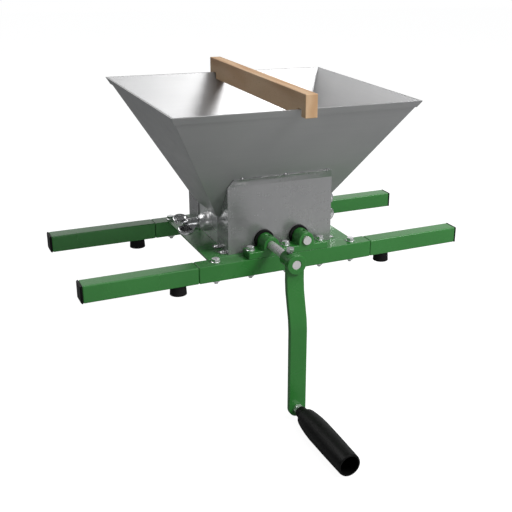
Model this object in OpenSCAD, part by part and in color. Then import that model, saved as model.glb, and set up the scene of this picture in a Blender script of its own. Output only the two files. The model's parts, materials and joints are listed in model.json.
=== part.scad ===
// Hand-cranked apple scratter: a stainless hopper over two toothed rollers, on a green tube frame.
// The frame lies on two edges, such as a tub's rim, and the crank swings below its feet.
// Millimetres. +Z is up, X runs along the rails, and the crank is at the front, towards -Y.
// The origin is the middle of the plane that the four rubber feet stand on.

/* [Rails] */
// Outside width of the square tube
tube_w = 25; // [20:1:35]
// Wall of the square tube
tube_wall = 2; // [1.5:0.1:3]
// Gap between the mill box and each rail, which the seal rings close
rail_gap = 5; // [3:0.5:12]
// Length of the middle tube of each rail
center_tube_l = 276; // [250:1:340]
// Length of each plug-in leg outside the middle tube
leg_l = 159; // [110:1:300]
// Length of the spigot that each leg pushes into the middle tube
spigot_in_l = 45; // [40:1:60]
// Length of the spigot inside the leg
spigot_out_l = 40; // [30:1:60]
// Distance from the end of the middle tube back to the leg bolt
leg_bolt_inset = 29; // [20:1:32]
// Thickness of the plastic end cap outside the tube
cap_t = 3; // [2:0.5:6]
// Depth of the end cap's plug inside the tube
cap_plug_l = 12; // [6:1:25]

/* [Feet] */
// Diameter of a rubber foot at its base
foot_d = 24; // [18:1:25]
// Height of a rubber foot
foot_h = 14; // [8:0.5:30]
// Distance from the end of the middle tube out to a foot
foot_outset = 27; // [16:1:60]

/* [Base plate] */
// How far the base plate reaches past the box at each end
plate_margin = 33; // [20:1:50]
// Thickness of the base plate
plate_t = 3; // [2:0.5:6]
// Distance from the end of the box in to the drop opening
drop_inset = 16; // [8:1:20]
// Width of the plate's ledge inside each panel
plate_ledge = 2; // [1:0.5:4]

/* [Mill box] */
// Outside length of the mill box along the rails
box_l = 166; // [160:1:180]
// Outside width of the mill box across the rails
box_w = 171; // [150:1:190]
// Height of the box walls above the base plate up to the hopper's bend
box_h = 101; // [85:1:130]
// Thickness of the box sheets
sheet_t = 1.5; // [1:0.1:2]
// How far a side return reaches past the hopper's edge towards the middle of the box
return_lap = 8; // [4:0.5:12]
// Height of the panel's top flange, measured along Z
top_flange_h = 13; // [8:0.5:25]
// Cut-off corner of the top flange
flange_corner = 6; // [4:0.5:15]
// Radius of the weld beads that hold the top flange to the hopper
weld_r = 2.5; // [1.5:0.25:4]
// Distance from the flange's cut corner to the outer weld bead
weld_inset = 10; // [4:0.5:30]
// Distance of the middle weld bead from the panel's middle
weld_shift = 3; // [-3:0.5:3]
// Radius of the panel's hole around each shaft
panel_hole_r = 9; // [8:0.5:12]

/* [Hopper] */
// Outside length of the hopper's mouth along the rails
mouth_l = 366; // [320:1:420]
// Outside width of the hopper's mouth across the rails
mouth_w = 324; // [280:1:360]
// Height of the sloped front and back walls
slope_h = 121; // [90:1:160]
// Height of the hopper's lower edge above the base plate
hopper_edge_h = 47; // [46:0.5:49]
// How far the hopper's lower edge stands out from the box
drip_edge = 3; // [2:0.5:5]
// Thickness of the hopper sheets
hopper_t = 1.5; // [1:0.1:2]
// Height of the folded hem along the mouth
hem_h = 10; // [6:0.5:16]
// Thickness that the folded hem adds outside the sheet
hem_t = 1.5; // [1:0.1:3]

/* [Side covers] */
// Width of a side cover, which the panel returns hold
cover_w = 124; // [110:1:140]
// Height of a side cover above the base plate
cover_h = 44; // [42:0.5:45]
// Radius of the side cover's dome
dome_r = 14.5; // [13:0.5:16]
// Length of the straight part at the foot of the dome
dome_neck_l = 4; // [2.5:0.5:6]
// Radius of the flat end of the dome
dome_flat_r = 7; // [6.5:0.5:8]
// Diameter of the threaded stud
stud_d = 10; // [8:0.5:10]
// Length of the stud outside the dome
stud_l = 22; // [16:1:40]
// Gap between a guide plate's end and the panel
guide_end_gap = 5; // [2:0.5:8]
// Gap between the guide plate's lip and the roller's teeth
guide_gap = 3; // [2:0.5:6]
// Radius of the washer under a wing nut
washer_r = 9; // [8:0.5:10]
// Thickness of the washer under a wing nut
washer_t = 2; // [1.5:0.1:4]

/* [Wing nuts] */
// Radius of the wing nut's base
wing_base_r = 8.5; // [8:0.5:10]
// Radius of the wing nut's boss at its top
wing_top_r = 7.5; // [7:0.5:8]
// Height of the wing nut's boss
wing_boss_h = 16; // [12:0.5:20]
// Distance from the stud's axis to the middle of a wing
wing_reach = 13; // [12:0.5:14]
// Height of the middle of a wing above the nut's base
wing_rise = 21; // [17:0.5:24]
// Radius of the round end of a wing
wing_r = 11.5; // [9:0.5:12]
// Thickness of a wing
wing_t = 5; // [3:0.5:7]
// Radius of the dimple in a wing's face
wing_dimple_r = 7.5; // [5:0.5:8]
// Depth of the dimple in a wing's face
wing_dimple_deep = 0.9; // [0.4:0.1:1.4]
// Angle of the left nut's wings from level
wing_angle_left = 20; // [0:1:180]
// Angle of the right nut's wings from level
wing_angle_right = 80; // [0:1:180]

/* [Bearings] */
// Distance between the two shafts
shaft_pitch = 56; // [55:1:60]
// Height of the shafts above the base plate
shaft_h = 17; // [15:0.5:18]
// Diameter of the shafts
shaft_d = 13; // [11:0.5:15]
// Radial running gap between shaft and bush
run_gap = 0.05; // [0.02:0.01:0.1]
// Wall of the bearing bush
bush_wall = 1.5; // [1:0.1:2]
// Thickness of the block's outer lip, which hides the bush
bush_lip = 2; // [1:0.5:4]
// Outside radius of the block's round boss
boss_r = 12; // [10.5:0.5:13]
// Height of the bolted ears of a bearing block
ear_h = 10; // [6:0.5:12]
// Length of a block's ear past its outer bolt
ear_end = 7; // [6:0.5:12]
// Gap between the two blocks of a pair
block_gap = 1; // [0.6:0.1:3]
// Outside radius of the black seal ring
seal_r = 15; // [13:0.5:16]
// Radial gap between the seal ring and the shaft
seal_gap = 0.3; // [0.3:0.05:1]
// Radius of the oil hole on a boss
oil_hole_r = 2; // [1:0.1:3]

/* [Rollers] */
// Radius of the roller's core
core_r = 19; // [15:0.5:21]
// Radius over the knife teeth
knife_tip_r = 26.5; // [23:0.5:27]
// Radius of the bottom of the knife slots
knife_root_r = 12; // [9:0.5:13]
// Gap between a roller's end and the panel
roller_end_gap = 6; // [5:0.5:10]
// Thickness of a knife strip
knife_t = 3; // [2:0.5:4]
// Number of knife strips on a roller
knife_count = 6; // [4:1:8]
// Distance between knife teeth
tooth_pitch = 12; // [8:0.5:20]
// Depth of the notches between knife teeth
notch_h = 4.5; // [2:0.5:6]
// Side clearance of a knife in its slot
slot_gap = 0.1; // [0.05:0.05:0.3]

/* [Gears] */
// Number of teeth on each gear
gear_teeth = 28; // [20:2:36]
// Width of the gears
gear_w = 12; // [8:0.5:20]
// Pressure angle of the gear teeth
pressure_angle = 20; // [18:1:25]
// Play between the gear teeth at the pitch circle
gear_play = 0.5; // [0.3:0.05:0.8]
// Radius of the gear's hub
gear_hub_r = 13; // [11:0.5:15]
// Length of the gear's hub towards the bearing
gear_hub_l = 6; // [6:0.5:12]
// Radius of the lightening holes in the gear
gear_hole_r = 4; // [2:0.5:4.5]

/* [Crank] */
// Distance from the shaft's axis to the grip's axis
crank_r = 218; // [150:1:260]
// Gap between the front bearing and the crank's hub
hub_stand_off = 50; // [20:1:60]
// Radius of the hub's sleeve
hub_r = 11; // [10:0.5:14]
// Length of the hub's sleeve behind the arm
hub_l = 22; // [20:1:50]
// Radius of the disc on the front of the arm
disc_r = 14; // [13.5:0.5:22]
// Thickness of the disc on the front of the arm
disc_t = 4; // [2:0.5:8]
// Width of the crank arm
arm_w = 26; // [22:1:34]
// Thickness of the crank arm
arm_t = 8; // [5:0.5:10]
// How far the lower arm is set forward by the bend
arm_jog = 13; // [6:1:30]
// Distance below the shaft at which the bend starts
jog_start = 24; // [20:1:40]
// Height over which the arm bends forward
jog_h = 72; // [50:1:90]

/* [Grip] */
// Length of the grip from neck to open end
grip_l = 144; // [110:1:170]
// Radius of the neck next to the arm
neck_r = 8.5; // [8:0.5:10]
// Length of the neck
neck_l = 16; // [10:1:24]
// Radius of the grip at its shoulder
shoulder_r = 13; // [12:0.5:15]
// Radius of the grip where it is widest
grip_wide_r = 17; // [16:0.5:21]
// Wall of the hollow grip
grip_wall = 2.2; // [1.5:0.1:3]
// Diameter of the grip's bolt
grip_bolt_d = 8; // [6:0.5:8]
// Radial gap between the grip and its bolt
grip_gap = 0.1; // [0.05:0.01:0.1]

/* [Wood bar] */
// Width of the wood bar
bar_w = 18; // [12:1:30]
// Height of the wood bar
bar_h = 32; // [24:1:50]
// How far the bar reaches past the mouth at each end
bar_overhang = 16; // [8:1:30]
// Depth of the notches that sit on the mouth
bar_notch = 10; // [5:0.5:14]
// Clearance of a notch on each side of the wall
bar_notch_gap = 1.5; // [0.5:0.1:3]

/* [Fasteners] */
// Thread diameter of the frame's bolts
bolt_d = 6; // [5:0.5:8]
// Width across the flats of the frame's bolt heads and nuts
bolt_flats = 10; // [8:0.5:13]
// Height of the frame's bolt heads
bolt_head_h = 4.5; // [3:0.5:6]
// Radius of the flange under a frame bolt's head
bolt_flange_r = 6.5; // [5.5:0.5:6.5]
// Thickness of the flange under a frame bolt's head
bolt_flange_h = 1.2; // [0.8:0.1:2]
// Height of the frame's nuts
nut_h = 5; // [4:0.5:8]
// Length of the bolt thread past its nut
bolt_tail = 3; // [1:0.5:8]
// Radial clearance of a bolt in its hole
bolt_gap = 0.25; // [0.1:0.05:0.5]
// Radius of a rivet head
rivet_r = 3.5; // [2.5:0.25:4]
// Height of a rivet head
rivet_h = 1.4; // [0.8:0.1:2.5]

/* [Hidden] */
// Small gap between pieces of different bodies
body_gap = 0.3;
// Overrun of a cut past the face that it opens
cut_over = 1;
// Facets of a full circle, which the exact model replaces by a true round
round_fn = 72;
// Facets of a hexagon
hex_fn = 6;
// Straight pieces in the flank of a gear tooth, and in the round of a dome
flank_steps = 4;
dome_steps = 8;
// Depth of a gear tooth below the pitch circle, as a share of the module
dedendum_share = 1.25;
// Lightening holes in a gear
gear_hole_count = 4;

// Sheet metal and small parts that have one size only
spigot_gap = 0.2;
cap_bevel = 1.2;
foot_top_r_share = 0.92;
foot_recess_r = 7;
foot_recess_h = 6;
tab_l = 12;
tab_out = 9;
wing_flare_share = 0.86;
foot_screw_tail = 1;
shaft_stand = 1;
shaft_sink = 1;
hub_screw_d = 6;
hub_screw_stand = 2.5;
hub_screw_inset = 10;
neck_flare = 1;
wing_clear = 0.5;
web_t = 6;
grip_head_h = 5;
grip_head_flats = 13;
grip_nut_h = 5;
gear_screw_d = 5;
oil_sink_r = 3.2;
oil_sink_h = 1.2;
knife_edge_w = 1.5;

// Places along Z. The studs sit so high that the wing nuts turn freely over the base plate.
tube_z = foot_h;
deck_z = foot_h + tube_w;
shaft_z = deck_z + shaft_h;
bend_z = deck_z + box_h;
mouth_z = bend_z + slope_h;
edge_z = deck_z + hopper_edge_h;
stud_z = deck_z + wing_reach + wing_r + wing_clear;

// The four ends of the rails, as signs of x and y
corner_signs = [[-1, -1], [1, -1], [-1, 1], [1, 1]];

// Places along X and Y
box_y = box_w / 2;
rail_in_y = box_y + rail_gap;
rail_y = rail_in_y + tube_w / 2;
rail_out_y = rail_in_y + tube_w;
center_x = center_tube_l / 2;
leg_end_x = center_x + leg_l;
leg_bolt_x = center_x - leg_bolt_inset;
foot_x = center_x + foot_outset;
box_x = box_l / 2;
plate_l = box_l + 2 * plate_margin;
drop_l = box_l - 2 * drop_inset;
shaft_x = shaft_pitch / 2;
ear_bolt_x = shaft_pitch;
mouth_x = mouth_l / 2;
mouth_y = mouth_w / 2;
edge_x = box_x + drip_edge;
cover_x = box_x - sheet_t;
dome_rise = sqrt(dome_r * dome_r - dome_flat_r * dome_flat_r);
dome_face_x = cover_x + dome_neck_l + dome_rise;

// Hopper walls: the side walls fall to the drip edge, and the end walls pass into the box.
// A value ending in _w is a sheet's width along the level, where the sheet itself slopes.
panel_in_y = box_y - sheet_t;
drop_w = 2 * (panel_in_y - plate_ledge);
roller_l = 2 * (panel_in_y - roller_end_gap);
side_run = mouth_x - edge_x;
side_rise = mouth_z - edge_z;
end_run = mouth_y - panel_in_y;
side_slant = sqrt(side_run * side_run + side_rise * side_rise) / side_rise;
end_slant = sqrt(end_run * end_run + slope_h * slope_h) / slope_h;
side_wall_w = hopper_t * side_slant;
end_wall_w = hopper_t * end_slant;
side_hem_w = hem_t * side_slant;
end_hem_w = hem_t * end_slant;
side_hem_run = side_run * hem_h / side_rise;
end_hem_run = end_run * hem_h / slope_h;
edge_y = panel_in_y - end_run * (bend_z - edge_z) / slope_h;

// The panels' flanges lie on the outside of the hopper's end walls
flange_w = sheet_t * end_slant;
flange_z = bend_z + top_flange_h;
flange_y = panel_in_y + end_run * top_flange_h / slope_h;
weld_x = box_x - flange_corner - weld_inset;
panel_bend_z = bend_z - (flange_w - sheet_t) * slope_h / end_run;
return_end_y = edge_y - return_lap;
return_top_z = edge_z - body_gap;

// Foot tabs of the side returns, as distances from the middle of the box
tab_rivet_x = box_x + tab_out / 2;
tab_places = [box_y - tab_l, return_end_y + tab_l / 2];

// Foot screws reach through the foot and both walls at the leg's spigot
foot_screw_l = foot_h - foot_recess_h + 2 * tube_wall + spigot_gap + foot_screw_tail;

// Bearings and shafts
shaft_r = shaft_d / 2;
bush_r = shaft_r + run_gap + bush_wall;
bolt_r = bolt_d / 2;
shaft_rear_y = rail_out_y + body_gap + gear_hub_l + gear_w + shaft_stand;
idler_front_y = rail_out_y + bolt_r;

// Gears
gear_module = shaft_pitch / gear_teeth;
gear_pitch_r = shaft_pitch / 2;
gear_base_r = gear_pitch_r * cos(pressure_angle);
gear_tip_r = gear_pitch_r + gear_module;
gear_root_r = gear_pitch_r - dedendum_share * gear_module;
flank_low_r = max(gear_base_r, gear_root_r);
flank_radii = [for (i = [0 : flank_steps])
    flank_low_r + (gear_tip_r - flank_low_r) * i / flank_steps];
half_tooth_angle = 180 / gear_teeth;
half_knife_angle = 180 / knife_count;
gear_hub_y = rail_out_y + body_gap;
gear_y = gear_hub_y + gear_hub_l;

// Crank: the arm's faces, from the hub down to the grip
hub_rear_y = rail_out_y + hub_stand_off;
arm_rear_y = hub_rear_y + hub_l;
screw_y = arm_rear_y - hub_screw_inset;
arm_front_y = arm_rear_y + arm_t;
disc_front_y = arm_front_y + disc_t;
lower_front_y = arm_front_y + arm_jog;
lower_rear_y = arm_rear_y + arm_jog;
grip_z = shaft_z - crank_r;
jog_top_z = shaft_z - jog_start;

// Parts of the bend's height and of its set, for a soft S
jog_height_shares = [0, 0.22, 0.78, 1];
jog_set_shares = [0, 0.12, 0.88, 1];

// Grip: stations from the shoulder to the open end, as shares of length and of the radius gained
grip_bolt_r = grip_bolt_d / 2;
jam_nut_y = lower_front_y + grip_nut_h + body_gap;
grip_rear_y = jam_nut_y + grip_nut_h + body_gap;
grip_body_l = grip_l - neck_l;
grip_length_shares = [0, 0.03, 0.1, 0.2, 0.32, 0.6, 0.98, 1];
grip_radius_shares = [0, 0.25, 0.55, 0.85, 1, 0.95, 0.75, 0.6];

// Wood bar
bar_top_z = mouth_z + body_gap - bar_notch + bar_h;
bar_end_y = mouth_y + bar_overhang;

green = [0.24, 0.48, 0.26];
steel = [0.62, 0.63, 0.64];
zinc = [0.8, 0.81, 0.82];
black = [0.07, 0.07, 0.07];
wood = [0.76, 0.6, 0.42];
alloy = [0.7, 0.71, 0.72];
bronze = [0.72, 0.55, 0.28];

// Helpers

// A cylinder along Y, from the lower y to the higher y
module rod_y(r, y_low, y_high) {
    translate([0, y_high, 0])
        rotate([90, 0, 0])
            cylinder(r = r, h = y_high - y_low, $fn = round_fn);
}

// A cylinder along X, from the lower x to the higher x
module rod_x(r, x_low, x_high) {
    translate([x_low, 0, 0])
        rotate([0, 90, 0])
            cylinder(r = r, h = x_high - x_low, $fn = round_fn);
}

// A hexagonal prism along Z with the given width across its flats
module hex(flats, h) {
    cylinder(r = flats / sqrt(3), h = h, $fn = hex_fn);
}

// A profile drawn as [x, z], extruded along Y between two places
module along_y(y_low, y_high) {
    translate([0, y_high, 0])
        rotate([90, 0, 0])
            linear_extrude(y_high - y_low)
                children();
}

// A profile drawn as [y, z], extruded along X between two places
module along_x(x_low, x_high) {
    translate([x_low, 0, 0])
        rotate([90, 0, 90])
            linear_extrude(x_high - x_low)
                children();
}

// Children go to each bolt of the bearing blocks, on both rails
module at_block_bolts() {
    for (y_sign = [-1, 1], step = [-1, 0, 1])
        translate([step * ear_bolt_x, y_sign * rail_y, 0])
            children();
}

// Children go to each of the four leg bolts
module at_leg_bolts() {
    for (s = corner_signs)
        translate([s[0] * leg_bolt_x, s[1] * rail_y, 0])
            children();
}

// Children go to each of the four feet
module at_feet() {
    for (s = corner_signs)
        translate([s[0] * foot_x, s[1] * rail_y, 0])
            children();
}

// Rails

module tube(x_low, x_high) {
    inner_w = tube_w - 2 * tube_wall;
    along_x(x_low, x_high)
        translate([0, tube_z + tube_w / 2])
            difference() {
                square(tube_w, center = true);
                square(inner_w, center = true);
            }
}

module center_tube(y_sign) {
    hole_h = tube_w + 2 * cut_over;
    color(green)
        difference() {
            translate([0, y_sign * rail_y, 0])
                tube(-center_x, center_x);
            for (x = [-leg_bolt_x, leg_bolt_x, -ear_bolt_x, 0, ear_bolt_x])
                translate([x, y_sign * rail_y, tube_z - cut_over])
                    cylinder(r = bolt_r + bolt_gap, h = hole_h, $fn = round_fn);
        }
}

// A leg is a tube with a smaller spigot welded into its inner end
module leg(x_sign, y_sign) {
    spigot_w = tube_w - 2 * tube_wall - 2 * spigot_gap;
    spigot_hole_w = spigot_w - 2 * tube_wall;
    hole_h = tube_w + 2 * cut_over;
    color(green)
        translate([0, y_sign * rail_y, 0])
            mirror([x_sign < 0 ? 1 : 0, 0, 0])
                difference() {
                    union() {
                        tube(center_x, leg_end_x);
                        along_x(center_x, center_x + spigot_out_l)
                            translate([0, tube_z + tube_w / 2])
                                difference() {
                                    square(tube_w - tube_wall, center = true);
                                    square(spigot_hole_w, center = true);
                                }
                        along_x(center_x - spigot_in_l, center_x + spigot_out_l)
                            translate([0, tube_z + tube_w / 2])
                                difference() {
                                    square(spigot_w, center = true);
                                    square(spigot_hole_w, center = true);
                                }
                    }
                    translate([leg_bolt_x, 0, tube_z - cut_over])
                        cylinder(r = bolt_r + bolt_gap, h = hole_h, $fn = round_fn);
                    translate([foot_x, 0, foot_recess_h])
                        cylinder(r = bolt_r, h = foot_screw_l, $fn = round_fn);
                }
}

// A black plastic cap with a bevelled face and a plug inside the tube
module end_cap(x_sign, y_sign) {
    plug_w = tube_w - 2 * tube_wall - 2 * spigot_gap;
    half = tube_w / 2;
    color(black)
        translate([0, y_sign * rail_y, tube_z + half])
            mirror([x_sign < 0 ? 1 : 0, 0, 0])
                union() {
                    translate([leg_end_x - cap_plug_l, -plug_w / 2, -plug_w / 2])
                        cube([cap_plug_l + cap_t / 2, plug_w, plug_w]);
                    intersection() {
                        along_y(-half, half)
                            cap_outline(half);
                        rotate([90, 0, 0])
                            along_y(-half, half)
                                cap_outline(half);
                    }
                }
}

module cap_outline(half) {
    face_x = leg_end_x + cap_t;
    polygon([
        [leg_end_x, -half], [face_x - cap_bevel, -half], [face_x, cap_bevel - half],
        [face_x, half - cap_bevel], [face_x - cap_bevel, half], [leg_end_x, half]
    ]);
}

// A turned rubber foot with a recess for its screw
module foot(x_sign, y_sign) {
    base_r = foot_d / 2;
    hole_r = bolt_r + bolt_gap;
    color(black)
        translate([x_sign * foot_x, y_sign * rail_y, 0])
            rotate_extrude($fn = round_fn)
                polygon([
                    [foot_recess_r, 0], [base_r, 0],
                    [base_r * foot_top_r_share, foot_h], [hole_r, foot_h],
                    [hole_r, foot_recess_h], [foot_recess_r, foot_recess_h]
                ]);
}

module foot_screws() {
    color(zinc)
        at_feet()
            union() {
                translate([0, 0, foot_recess_h - bolt_head_h])
                    cylinder(r = bolt_flats / 2, h = bolt_head_h, $fn = round_fn);
                translate([0, 0, foot_recess_h])
                    cylinder(r = bolt_r, h = foot_screw_l, $fn = round_fn);
            }
}

// A hexagon bolt with a flanged head, whose head sits at z_top and whose thread ends below its nut
module bolt_down(z_top) {
    thread_l = z_top - tube_z + nut_h + bolt_tail;
    union() {
        translate([0, 0, z_top + bolt_flange_h])
            hex(bolt_flats, bolt_head_h);
        translate([0, 0, z_top])
            cylinder(r = bolt_flange_r, h = bolt_flange_h, $fn = round_fn);
        translate([0, 0, z_top - thread_l])
            cylinder(r = bolt_r, h = thread_l, $fn = round_fn);
    }
}

// The leg bolts go down through the middle tube and the leg's spigot
module leg_bolts() {
    color(zinc)
        at_leg_bolts()
            bolt_down(deck_z);
}

module nut_below(z_top) {
    difference() {
        translate([0, 0, z_top - nut_h])
            hex(bolt_flats, nut_h);
        translate([0, 0, z_top - nut_h - cut_over])
            cylinder(r = bolt_r, h = nut_h + 2 * cut_over, $fn = round_fn);
    }
}

module leg_nuts() {
    color(zinc)
        at_leg_bolts()
            nut_below(tube_z);
}

// Base plate between the rails, with the opening that the pulp drops through
module base_plate() {
    color(green)
        difference() {
            translate([-plate_l / 2, -rail_in_y, deck_z - plate_t])
                cube([plate_l, 2 * rail_in_y, plate_t]);
            translate([-drop_l / 2, -drop_w / 2, deck_z - plate_t - cut_over])
                cube([drop_l, drop_w, plate_t + 2 * cut_over]);
            for (x_sign = [-1, 1], y_sign = [-1, 1], y = tab_places)
                translate([x_sign * tab_rivet_x, y_sign * y, deck_z - plate_t - cut_over])
                    cylinder(r = rivet_r / 2, h = plate_t + 2 * cut_over, $fn = round_fn);
        }
}

// Mill box

// Children go to each weld bead, on the top edge of the front panel's flange
module at_welds() {
    for (x = [-weld_x, 0, weld_x])
        translate([x + weld_shift, -flange_y, flange_z])
            children();
}

// The front panel: a flat sheet, a flange up the hopper's slope, and side returns with foot tabs
module panel() {
    color(steel)
        difference() {
            union() {
                intersection() {
                    along_x(-box_x, box_x)
                        polygon([
                            [-box_y, deck_z], [-box_y, panel_bend_z],
                            [-flange_y - flange_w, flange_z], [-flange_y, flange_z],
                            [-panel_in_y, bend_z], [-panel_in_y, deck_z]
                        ]);
                    along_y(-mouth_y, 0)
                        polygon([
                            [-box_x, deck_z], [box_x, deck_z], [box_x, bend_z],
                            [box_x - flange_corner, flange_z], [flange_corner - box_x, flange_z],
                            [-box_x, bend_z]
                        ]);
                }
                intersection() {
                    at_welds()
                        sphere(r = weld_r, $fn = round_fn);
                    along_x(-box_x, box_x)
                        polygon([[-mouth_y, mouth_z], [-panel_in_y, bend_z], [-mouth_y, bend_z]]);
                }
                for (x_sign = [-1, 1])
                    mirror([x_sign < 0 ? 1 : 0, 0, 0])
                        side_return();
            }
            for (x_sign = [-1, 1])
                translate([x_sign * shaft_x, 0, shaft_z])
                    rod_y(panel_hole_r, -box_y - cut_over, cut_over - panel_in_y);
        }
}

// A return fills the side below the hopper's end wall, drawn as [y, z]
module return_outline() {
    polygon([
        [-box_y, deck_z], [-box_y, panel_bend_z],
        [-panel_in_y, bend_z - body_gap], [-edge_y, return_top_z],
        [-return_end_y, return_top_z], [-return_end_y, deck_z]
    ]);
}

module side_return() {
    difference() {
        union() {
            along_x(box_x - sheet_t, box_x)
                return_outline();
            for (y = tab_places)
                translate([box_x - sheet_t, -y - tab_l / 2, deck_z])
                    cube([tab_out + sheet_t, tab_l, sheet_t]);
        }
        for (y = tab_places)
            translate([tab_rivet_x, -y, deck_z - cut_over])
                cylinder(r = rivet_r / 2, h = sheet_t + 2 * cut_over, $fn = round_fn);
    }
}

// Rivets through the foot tabs and the base plate
module rivets() {
    color(zinc)
        for (x_sign = [-1, 1], y_sign = [-1, 1], y = tab_places)
            translate([x_sign * tab_rivet_x, y_sign * y, deck_z + sheet_t])
                rivet();
}

// A domed rivet whose head sits at z = 0, with a shank that ends a little below its two sheets
module rivet() {
    shank_l = sheet_t + plate_t + rivet_h;
    dome_r = (rivet_r * rivet_r + rivet_h * rivet_h) / (2 * rivet_h);
    union() {
        intersection() {
            translate([0, 0, rivet_h - dome_r])
                sphere(r = dome_r, $fn = round_fn);
            cylinder(r = rivet_r, h = rivet_h, $fn = round_fn);
        }
        translate([0, 0, -shank_l])
            cylinder(r = rivet_r / 2, h = shank_l + rivet_h / 2, $fn = round_fn);
    }
}

// Hopper

// Section of a side wall with its hem folded outwards, drawn as [x, z] for the left side
module side_strip() {
    polygon([
        [-edge_x, edge_z],
        [side_hem_run - mouth_x, mouth_z - hem_h],
        [side_hem_run - side_hem_w - mouth_x, mouth_z - hem_h],
        [-side_hem_w - mouth_x, mouth_z],
        [side_wall_w - mouth_x, mouth_z],
        [side_wall_w - edge_x, edge_z]
    ]);
}

// Section of the front wall with its hem folded outwards, drawn as [y, z]
module end_strip() {
    polygon([
        [-edge_y, edge_z],
        [end_hem_run - mouth_y, mouth_z - hem_h],
        [end_hem_run - end_hem_w - mouth_y, mouth_z - hem_h],
        [-end_hem_w - mouth_y, mouth_z],
        [end_wall_w - mouth_y, mouth_z],
        [end_wall_w - edge_y, edge_z]
    ]);
}

// A polygon from its half with positive coordinates, mirrored to the other side
module mirrored(half) {
    last = len(half) - 1;
    polygon(concat(half, [for (i = [last : -1 : 0]) [-half[i][0], half[i][1]]]));
}

// The outline of the hopper seen from the front, hem included
module front_outline() {
    mirrored([
        [mouth_x + side_hem_w, mouth_z],
        [mouth_x + side_hem_w - side_hem_run, mouth_z - hem_h],
        [mouth_x - side_hem_run, mouth_z - hem_h],
        [edge_x, edge_z]
    ]);
}

// The space inside the two end walls, seen from the side
module between_ends() {
    mirrored([[mouth_y - end_wall_w, mouth_z], [edge_y - end_wall_w, edge_z]]);
}

// An end wall and a side wall are each cut from a long strip by the outline of the other pair
module hopper_end() {
    color(steel)
        intersection() {
            along_x(-mouth_l, mouth_l)
                end_strip();
            along_y(-mouth_w, 0)
                front_outline();
        }
}

module hopper_side() {
    color(steel)
        intersection() {
            along_y(-mouth_y, mouth_y)
                side_strip();
            along_x(-mouth_l, 0)
                between_ends();
        }
}

// Side covers, guide plates and wing nuts, drawn for the left side

// A solid dome with a flat end along Z, made smaller by the inset, whose foot starts below z = 0
module dome(inset, foot_deep) {
    r = dome_r - inset;
    end_angle = asin((dome_rise - inset) / r);
    arc = [for (i = [0 : dome_steps]) [
        r * cos(end_angle * i / dome_steps),
        dome_neck_l + r * sin(end_angle * i / dome_steps)
    ]];
    rotate_extrude($fn = round_fn)
        polygon(concat(
            [[0, -foot_deep], [r, -foot_deep]],
            arc,
            [[0, dome_neck_l + dome_rise - inset]]
        ));
}

module side_cover() {
    color(steel)
        difference() {
            union() {
                translate([-cover_x, -cover_w / 2, deck_z + body_gap])
                    cube([sheet_t, cover_w, cover_h]);
                translate([-cover_x, 0, stud_z])
                    rotate([0, -90, 0])
                        dome(0, sheet_t / 2);
            }
            translate([-cover_x, 0, stud_z])
                rotate([0, -90, 0])
                    dome(sheet_t, sheet_t + cut_over);
            translate([0, 0, stud_z])
                rod_x(stud_d / 2 + bolt_gap, -dome_face_x - cut_over, -cover_x);
        }
}

// The guide plate leads fruit from the hopper's edge to the roller and carries the stud
module guide_plate() {
    back_x = cover_x - sheet_t;
    lip_x = shaft_x + knife_tip_r + guide_gap;
    lip_z = shaft_z + guide_gap * 2;
    top_z = deck_z + cover_h;
    half_w = panel_in_y - guide_end_gap;
    color(steel)
        union() {
            along_y(-half_w, half_w)
                polygon([
                    [-back_x, deck_z + body_gap], [-back_x, top_z],
                    [sheet_t - back_x, top_z], [-lip_x, lip_z + sheet_t],
                    [-lip_x, lip_z], [sheet_t - back_x, top_z - 2 * sheet_t],
                    [sheet_t - back_x, deck_z + body_gap]
                ]);
            translate([0, 0, stud_z])
                rod_x(stud_d / 2, -dome_face_x - stud_l, sheet_t / 2 - back_x);
        }
}

module stud_washer() {
    translate([0, 0, stud_z])
        difference() {
            rod_x(washer_r, -dome_face_x - washer_t, -dome_face_x);
            rod_x(stud_d / 2 + bolt_gap, -dome_face_x - washer_t - cut_over, cut_over - dome_face_x);
        }
}

module stud_washers() {
    color(zinc)
        for (x_sign = [-1, 1])
            mirror([x_sign > 0 ? 1 : 0, 0, 0])
                stud_washer();
}

// A wing nut with round wings, drawn with its axis along Z and its base at z = 0
module wing_nut_body() {
    difference() {
        union() {
            rotate_extrude($fn = round_fn)
                polygon([
                    [stud_d / 2 + run_gap, 0], [wing_base_r, 0],
                    [wing_top_r, wing_boss_h], [stud_d / 2 + run_gap, wing_boss_h]
                ]);
            for (side = [0, 180])
                rotate([0, 0, side])
                    wing();
        }
        translate([0, 0, -cut_over])
            cylinder(r = stud_d / 2 + run_gap, h = wing_rise + wing_r + 2 * cut_over, $fn = round_fn);
    }
}

module wing() {
    difference() {
        translate([0, wing_t / 2, 0])
            rotate([90, 0, 0])
                linear_extrude(wing_t)
                    union() {
                        translate([wing_reach, wing_rise])
                            circle(r = wing_r, $fn = round_fn);
                        polygon([
                            [stud_d / 2 + run_gap, wing_t / 2], [wing_base_r - wing_t / 2, wing_t / 2],
                            [wing_reach + wing_r / 2, wing_rise - wing_flare_share * wing_r],
                            [wing_reach - wing_r / 2, wing_rise + wing_flare_share * wing_r],
                            [stud_d / 2 + run_gap, wing_boss_h - wing_t / 2]
                        ]);
                    }
        for (side = [-1, 1])
            translate([wing_reach, side * wing_t / 2, wing_rise])
                rotate([90, 0, 0])
                    translate([0, 0, -wing_dimple_deep])
                        cylinder(r = wing_dimple_r, h = 2 * wing_dimple_deep, $fn = round_fn);
    }
}

module wing_nut(x_sign, angle) {
    color(steel)
        mirror([x_sign > 0 ? 1 : 0, 0, 0])
            translate([-dome_face_x - washer_t - body_gap, 0, stud_z])
                rotate([90 + angle, 0, 0])
                    rotate([0, -90, 0])
                        wing_nut_body();
}

// Bearings

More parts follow.
